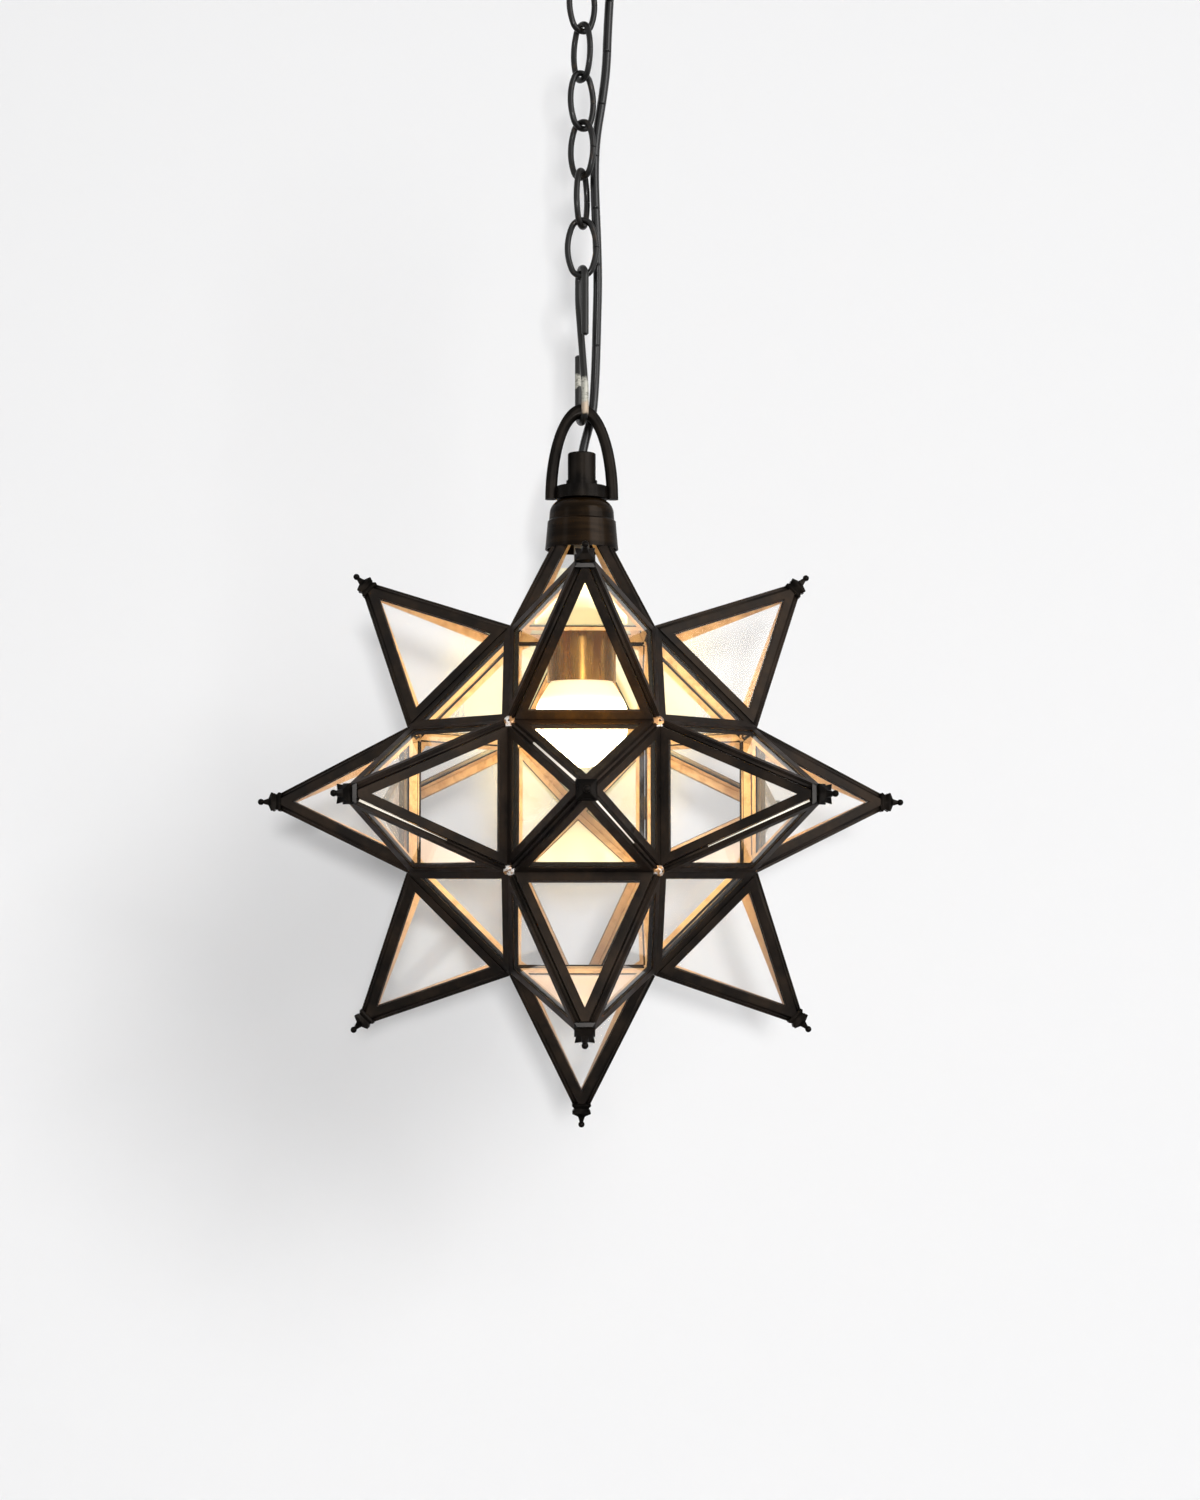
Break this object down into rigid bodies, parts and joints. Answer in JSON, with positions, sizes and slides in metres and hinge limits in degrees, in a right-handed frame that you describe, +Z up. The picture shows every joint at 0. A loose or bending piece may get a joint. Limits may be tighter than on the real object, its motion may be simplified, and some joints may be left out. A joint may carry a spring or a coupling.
{
  "type": "star pendant light",
  "caption": "Glazed star lantern: pyramid points of clear panes in dark metal cames on a faceted core, with ball finials, hung by chain and S-hook from a ceiling canopy",
  "frame": {"origin": "centre of the mounting strap's upper face, on the ceiling", "axes": "+Z up into the ceiling; the front of the star faces -Y and the hinged point +Y; X to the viewer's right"},
  "size_m": [0.412, 0.412, 0.8216],
  "materials": {
    "dark_bronze": "dark bronze patina, satin",
    "worn_hook": "dark patina rubbed to bare metal",
    "clear_glass": "clear hand-cut sheet glass",
    "lamp_opal": "frosted lamp, lit",
    "lamp_metal": "rolled lamp cap",
    "socket_brass": "brown brass",
    "socket_ceramic": "unglazed",
    "lead_white": "wire insulation",
    "zinc": "zinc plated",
    "cord_black": "black round flex"
  },
  "bodies": {
    "canopy": {"canopy": "dark_bronze", "mounting_strap": "zinc", "strap_nut": "zinc", "canopy_stem": "zinc", "canopy_loop": "dark_bronze", "canopy_bushing": "cord_black", "cord_span_1": "cord_black"},
    "link_1": {"chain_link_1": "dark_bronze", "cord_span_2": "cord_black"},
    "link_2": {"chain_link_2": "dark_bronze", "cord_span_3": "cord_black"},
    "link_3": {"chain_link_3": "dark_bronze", "cord_span_4": "cord_black"},
    "link_4": {"chain_link_4": "dark_bronze", "cord_span_5": "cord_black"},
    "link_5": {"chain_link_5": "dark_bronze", "cord_span_6": "cord_black"},
    "link_6": {"chain_link_6": "dark_bronze", "cord_span_7": "cord_black"},
    "s_hook": {"s_hook": "worn_hook", "cord_span_8": "cord_black"},
    "lantern": {"lantern_loop": "dark_bronze", "cord_grip": "dark_bronze", "cap": "dark_bronze", "cap_nut": "zinc", "head_stem": "zinc", "lamp_leads": "lead_white", "socket_shell": "socket_brass", "socket_liner": "socket_ceramic", "lamp_cap": "lamp_metal", "lamp_glass": "lamp_opal", "top_point_frames": "dark_bronze", "top_point_glass": "clear_glass", "upper_point_frames": "dark_bronze", "upper_point_glass": "clear_glass", "belt_point_frames": "dark_bronze", "belt_point_glass": "clear_glass", "lower_point_frames": "dark_bronze", "lower_point_glass": "clear_glass", "bottom_point_frames": "dark_bronze", "bottom_point_glass": "clear_glass", "upper_finials": "dark_bronze", "belt_finials": "dark_bronze", "lower_finials": "dark_bronze", "bottom_finials": "dark_bronze", "triangle_frames": "dark_bronze", "triangle_glass": "clear_glass", "body_hinge_leaf": "dark_bronze", "hinge_pin": "dark_bronze"},
    "door": {"door_point_frames": "dark_bronze", "door_point_glass": "clear_glass", "door_finials": "dark_bronze", "door_hinge_leaf": "dark_bronze", "door_tab": "dark_bronze"}
  },
  "joints": [
    {"name": "swing_1", "type": "hinge", "parent": "canopy", "child": "link_1", "pos_m": [0, 0, -0.0835], "axis": [0.4695, -0.8829, 0], "range_deg": [-15, 15], "deforming": ["cord_span_1"]},
    {"name": "swing_2", "type": "hinge", "parent": "link_1", "child": "link_2", "pos_m": [0, 0, -0.11325], "axis": [0.8829, 0.4695, 0], "range_deg": [-15, 15], "deforming": ["cord_span_2"]},
    {"name": "swing_3", "type": "hinge", "parent": "link_2", "child": "link_3", "pos_m": [0, 0, -0.14555], "axis": [0.5592, -0.829, 0], "range_deg": [-15, 15], "deforming": ["cord_span_3"]},
    {"name": "swing_4", "type": "hinge", "parent": "link_3", "child": "link_4", "pos_m": [0, 0, -0.17785], "axis": [0.7986, 0.6018, 0], "range_deg": [-15, 15], "deforming": ["cord_span_4"]},
    {"name": "swing_5", "type": "hinge", "parent": "link_4", "child": "link_5", "pos_m": [0, 0, -0.21015], "axis": [0.766, -0.6428, 0], "range_deg": [-15, 15], "deforming": ["cord_span_5"]},
    {"name": "swing_6", "type": "hinge", "parent": "link_5", "child": "link_6", "pos_m": [0, 0, -0.24245], "axis": [0.3746, 0.9272, 0], "range_deg": [-15, 15], "deforming": ["cord_span_6"]},
    {"name": "swing_7", "type": "hinge", "parent": "link_6", "child": "s_hook", "pos_m": [0, 0, -0.27475], "axis": [0.9903, -0.1392, 0], "range_deg": [-15, 15], "deforming": ["cord_span_7"]},
    {"name": "swing_8", "type": "hinge", "parent": "s_hook", "child": "lantern", "pos_m": [0, 0, -0.3705], "axis": [0.284, -0.9588, 0], "range_deg": [-15, 15], "deforming": ["cord_span_8"]},
    {"name": "door_hinge", "type": "hinge", "parent": "lantern", "child": "door", "pos_m": [-0.04601, 0.11107, -0.61552], "axis": [0, 0, 1], "range_deg": [0, 85]}
  ]
}
